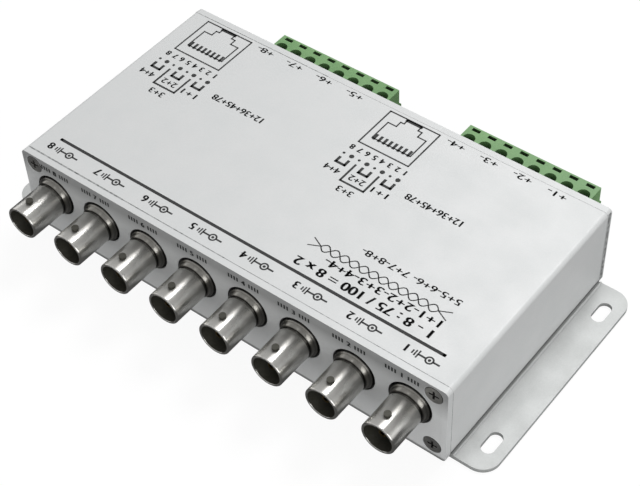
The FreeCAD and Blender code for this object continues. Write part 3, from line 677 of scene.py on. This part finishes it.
# Pictogram of an eight-way jack. A line is its width and then its points, a row gives the place
# of its first item and the pitch, and a text comes with its middle.
pictogram = {
    "ways": 8,
    "frame": (0.45, (2.1, 18.4), (18.1, 18.4), (18.1, 32.8), (2.1, 32.8)),
    "jack": (
        0.4, (4.1, 21.7), (4.1, 28.8), (6.8, 28.8), (6.8, 30.8), (7.9, 30.8), (7.9, 32.6),
        (12.4, 32.6), (12.4, 30.8), (13.7, 30.8), (13.7, 28.8), (16.4, 28.8), (16.4, 21.7),
    ),
    "latch": (0.9, (7.9, 32.3), (12.4, 32.3)),
    "contacts": {"first": 4.7, "pitch": 1.57, "foot": 21.6, "top": 23.2, "width": 0.8},
    "figures": {"first": 2.0, "pitch": 2.42, "row": 15.9, "height": 1.8, "bold": 0.25},
    "dots": {"first": 1.6, "pitch": 2.47, "row": 12.8, "radii": (0.4, 0.7)},
    "pairs": {"ends": ((1.7, 4.5), (9.0, 11.7), (16.3, 19.1)), "foot": 9.1, "top": 10.8, "width": 0.8},
    "longPair": (0.6, (6.8, 10.8), (6.8, 4.2), (14.2, 4.2), (14.2, 10.8)),
    "pairNames": (("4+4", 2.6, 6.3), ("3+3", 10.2, 1.6), ("2+2", 10.4, 6.5), ("1+1", 17.8, 6.3)),
    "pairNameSize": (2.0, 4.8, 0.15),
    "wires": ("12+36+45+78", 32.3, 9.5),
    "wiresSize": (2.1, 17.0, 0.2),
}


def drawPictogram(shift):
    # The wiring of the jack: outline, contacts, figures, polarity dots and pairs.
    def run(line, closed=False):
        width, *points = line
        inkStroke([(x + shift, y) for x, y in points], width, closed)

    run(pictogram["frame"], True)
    run(pictogram["jack"], True)
    run(pictogram["latch"])
    contacts, figures, dots = pictogram["contacts"], pictogram["figures"], pictogram["dots"]
    ways = pictogram["ways"]
    for way in range(ways):
        x = contacts["first"] + contacts["pitch"] * way
        run((contacts["width"], (x, contacts["foot"]), (x, contacts["top"])))
        x = figures["first"] + figures["pitch"] * way + shift
        inkText(str(ways - way), x, figures["row"], figures["height"], bold=figures["bold"])
        inkDisc(dots["first"] + dots["pitch"] * way + shift, dots["row"], dots["radii"][way % 2])
    pairs = pictogram["pairs"]
    foot, top = pairs["foot"], pairs["top"]
    for left, right in pairs["ends"]:
        run((pairs["width"], (left, top), (left, foot), (right, foot), (right, top)))
    run(pictogram["longPair"])
    for text, x, y in pictogram["pairNames"]:
        inkText(text, x + shift, y, *pictogram["pairNameSize"])
    text, x, y = pictogram["wires"]
    inkText(text, x + shift, y, *pictogram["wiresSize"])


# Label of a video socket, with places from its own point: a lead, the ring round its centre,
# a second lead, the bars of an earth sign, and the channel's number.
label = {
    "outerLead": (3.6, 4.9),
    "innerLead": (-0.7, 0.9),
    "leadWidth": 0.5,
    "ringPlace": 2.3,
    "ring": (1.2, 0.75),
    "centre": 0.4,
    "barPlace": -0.9,
    "barPitch": -0.75,
    "barReaches": (1.0, 0.7, 0.4),
    "barWidth": 0.4,
    "numberPlace": -4.2,
    "numberHeight": 2.3,
    "numberBold": 0.3,
}


def drawLabel(number, x, y):
    middle = x + label["ringPlace"]
    inkStroke([(x + end, y) for end in label["outerLead"]], label["leadWidth"])
    inkDisc(middle, y, *label["ring"])
    inkDisc(middle, y, label["centre"])
    inkStroke([(x + end, y) for end in label["innerLead"]], label["leadWidth"])
    for bar, reach in enumerate(label["barReaches"]):
        place = x + label["barPlace"] + label["barPitch"] * bar
        inkStroke([(place, y - reach), (place, y + reach)], label["barWidth"])
    inkText(f"{number}", x + label["numberPlace"], y, label["numberHeight"], bold=label["numberBold"])


def drawLid():
    line = ink["line"]
    ends = [(line["left"], line["row"]), (line["right"], line["row"])]
    inkStroke(ends, line["width"])
    for x, y in ends:
        inkDisc(x, y, line["width"] / 2)
    for number, x in enumerate(ink["videoPlaces"], 1):
        drawLabel(number, x, ink["videoRow"])
    for number, x in enumerate(ink["channelPlaces"], 1):
        inkText(f"+{number}-", x, ink["channelRow"], *ink["channelSize"])
    for shift in ink["pictogramPlaces"]:
        drawPictogram(shift)
    for figures in ink["wiring"]:
        inkText(*figures)


# Twisted pair, as two waves that cross and spread to open ends.
twist = {
    "ends": (17.0, 52.2),
    "row": -16.9,
    "halfWaves": 12,
    "pointsEach": 8,
    "height": 1.2,
    "tail": 3.0,
    "spread": 1.2,
    "width": 0.3,
}


def drawTwist():
    (first, last), middle, height = twist["ends"], twist["row"], twist["height"]
    steps = twist["halfWaves"] * twist["pointsEach"]
    for sign in (-1, 1):
        points = [(first - twist["tail"], middle - sign * height * twist["spread"])]
        for step in range(steps + 1):
            share = step / steps
            rise = height * math.sin(math.pi * twist["halfWaves"] * share)
            points.append((first + (last - first) * share, middle + sign * rise))
        points.append((last + twist["tail"], middle + sign * height * twist["spread"]))
        inkStroke(points, twist["width"])


# Marks over the sockets on the front plate: a number between two rows of ticks.
plateMarks = {
    "row": 24.1,
    "places": (55.3, 39.9, 23.3, 7.6, -9.0, -25.5, -42.0, -56.6),
    "height": 1.6,
    "bold": 0.3,
    "ticks": (-4.6, -3.7, -2.8, -1.9, 1.9, 2.8, 3.7, 4.6),
    "tickReach": 0.45,
    "tickWidth": 0.5,
}


def drawPlate():
    y, reach = plateMarks["row"], plateMarks["tickReach"]
    for number, x in enumerate(plateMarks["places"], 1):
        inkText(f"{number}", x, y, plateMarks["height"], bold=plateMarks["bold"], turn=0)
        for tick in plateMarks["ticks"]:
            inkStroke([(x + tick, y - reach), (x + tick, y + reach)], plateMarks["tickWidth"])


drawLid()
drawTwist()
lidPlace = Matrix.Translation((0, 0, (case["height"] + ink["lift"]) * mm))
inkPiece("lidPrint", lidPlace)
drawPlate()
upright = Matrix.Rotation(math.pi / 2, 4, "X")
inkPiece("platePrint", Matrix.Translation((0, (case["frontFace"] - ink["lift"]) * mm, 0)) @ upright)
print("the print is ready")

# Joint gaps, as start, end and width along the lid, and as place and width on each wall. They
# are wider on the left, and the cut edge of the rear plate is rough and dark in the corners.
gaps = {
    "wallFoot": 2.2,
    "wallTop": 25.2,
    "front": ((-66.9, -34.0, 0.4), (-34.0, 0.0, 0.24), (0.0, 66.9, 0.13)),
    "rear": ((-66.9, -20.0, 0.16),),
    "corners": ((-34.0, 0.12), (34.9, 1.3)),
}
for edge, side in (("front", -1), ("rear", 1)):
    for start, end, width in gaps[edge]:
        inkStroke([(start, side * case["joint"]), (end, side * case["joint"])], width)
inkPiece("lidGaps", lidPlace, shadedJointGap)
for name, side in (("right", 1), ("left", -1)):
    for place, width in gaps["corners"]:
        inkStroke([(place, gaps["wallFoot"]), (place, gaps["wallTop"])], width)
    shift = Matrix.Translation((side * (case["halfWidth"] + ink["lift"]) * mm, 0, 0))
    swing = Matrix.Rotation(math.pi / 2, 4, "Z") @ upright
    inkPiece(name + "WallGaps", shift @ swing, shadedJointGap)
print("the joint gaps are ready")

# Lights, with places and sizes in metres: a soft key above and behind, a weaker fill low in
# front on the right, an even pale surround, and cards that only polished metal reflects. The
# cards give the sockets their white streak and their dark undersides.
lamps = {
    "key": {"place": (0.02, 0.52, 0.84), "size": 0.35, "power": 4.0},
    "fill": {"place": (0.75, -0.45, 0.30), "size": 0.5, "power": 2.3},
}
light = {
    "surround": 0.55,
    "floorSize": (6.0, 6.0),
    "floorAlbedo": "#BCBCBC",
    "floorShade": 0.12,
    "floorGlow": 0.9,
}
cards = {
    "table": {"place": (0, 0, 0.0003), "facing": (0, 0, 1), "size": (1.6, 1.6), "glow": 0.085},
    "ceiling": {"place": (0, 0, 1.5), "facing": (0, 0, 1), "size": (7.0, 7.0), "glow": 0.5},
    "softbox": {"place": (-0.05, 0.1, 0.43), "facing": (0, 0.2, 1), "size": (0.085, 0.9), "glow": 1.35},
    "rightFlag": {"place": (0.9, 0.0, 0.25), "facing": (1, 0, 0), "size": (0.5, 1.8), "glow": 0.03},
}


def seenRays(tree):
    # Is 1 for rays from the camera, from metal and through glass, and 0 for those that light.
    path = addNode(tree, "LightPath", {})
    seen = path.outputs["Is Camera Ray"]
    for kind in ("Is Glossy Ray", "Is Transmission Ray"):
        either = addNode(
            tree, "Math", {"operation": "ADD", "use_clamp": True}, {0: seen, 1: path.outputs[kind]})
        seen = either.outputs[0]
    return seen


def addSurround():
    # Even light, and plain white where the camera, metal or glass looks past the floor.
    world = bpy.data.worlds.new("surround")
    bpy.context.scene.world = world
    world.use_nodes = True
    tree = world.node_tree
    strength = addNode(
        tree, "MapRange", {"To Min": light["surround"], "To Max": 1.0}, {"Value": seenRays(tree)})
    tree.links.new(strength.outputs[0], tree.nodes["Background"].inputs["Strength"])
    tree.nodes["Background"].inputs["Color"].default_value = (1, 1, 1, 1)


def flatSheet(name, materialName, size):
    # A level sheet round the origin, and the empty node tree of its material.
    x, y = [side / 2 for side in size]
    mesh = bpy.data.meshes.new(name)
    mesh.from_pydata([(-x, -y, 0), (x, -y, 0), (x, y, 0), (-x, y, 0)], [], [(0, 1, 2, 3)])
    sheet = bpy.data.objects.new(name, mesh)
    bpy.context.scene.collection.objects.link(sheet)
    material = bpy.data.materials.new(materialName)
    material.use_nodes = True
    material.node_tree.nodes.clear()
    mesh.materials.append(material)
    return sheet, material.node_tree


def addFloor():
    # Nearly white where it is seen, with the object's shadow, and a mid grey for the light
    # that it throws back on the object.
    floor, tree = flatSheet("floor", "paleFloor", light["floorSize"])
    shade = light["floorShade"]
    dull = addNode(tree, "BsdfDiffuse", {"Color": linear(light["floorAlbedo"])})
    pale = addNode(tree, "BsdfDiffuse", {"Color": (shade, shade, shade, 1)})
    glow = addNode(tree, "Emission", {"Strength": light["floorGlow"]})
    bright = addNode(tree, "AddShader", {}, {0: pale.outputs[0], 1: glow.outputs[0]})
    both = addNode(tree, "MixShader", {}, {0: seenRays(tree), 1: dull.outputs[0], 2: bright.outputs[0]})
    addNode(tree, "OutputMaterial", {}, {"Surface": both.outputs[0]})


def turnTo(thing, place, facing):
    # Puts a lamp or a card in its place, with its z axis along a direction.
    thing.location = place
    thing.rotation_mode = "QUATERNION"
    thing.rotation_quaternion = Vector(facing).to_track_quat("Z", "Y")


def addLamp(name, settings):
    # A square soft lamp that faces the object.
    lamp = bpy.data.lights.new(name, "AREA")
    lamp.size = settings["size"]
    lamp.energy = settings["power"]
    holder = bpy.data.objects.new(name, lamp)
    bpy.context.scene.collection.objects.link(holder)
    turnTo(holder, settings["place"], settings["place"])


def addCard(name, card):
    # A plain glowing sheet that is seen in polished metal and nowhere else.
    sheet, tree = flatSheet(name, name, card["size"])
    glow = addNode(tree, "Emission", {"Strength": card["glow"]})
    addNode(tree, "OutputMaterial", {}, {"Surface": glow.outputs[0]})
    turnTo(sheet, card["place"], card["facing"])
    for ray in ("camera", "diffuse", "transmission", "volume_scatter", "shadow"):
        setattr(sheet, "visible_" + ray, False)


addSurround()
addFloor()
for name, settings in lamps.items():
    addLamp(name, settings)
for name, card in cards.items():
    addCard(name, card)

# Camera, in metres but for its lens and sensor: where the photograph was taken from, fitted to
# the edges of the case, the socket mouths and the terminal wells.
view = {
    "place": (0.184734, -0.218721, 0.312714),
    "right": (0.78985855, 0.61245721, -0.03193175),
    "up": (-0.43386257, 0.5948156, 0.6767257),
    "forward": (-0.43345904, 0.52066359, -0.73554245),
    "lens": 88.577,
    "sensor": 36,
    "nearest": 0.01,
    "farthest": 20,
}
lens = bpy.data.cameras.new("camera")
lens.lens = view["lens"]
lens.sensor_width = view["sensor"]
lens.sensor_fit = "HORIZONTAL"
lens.clip_start = view["nearest"]
lens.clip_end = view["farthest"]
camera = bpy.data.objects.new("camera", lens)
bpy.context.scene.collection.objects.link(camera)
axes = Matrix((view["right"], view["up"], [-part for part in view["forward"]])).transposed()
camera.matrix_world = Matrix.Translation(view["place"]) @ axes.to_4x4()
bpy.context.scene.camera = camera
bpy.context.scene.view_settings.view_transform = "Standard"
print("the lights and the camera are ready")
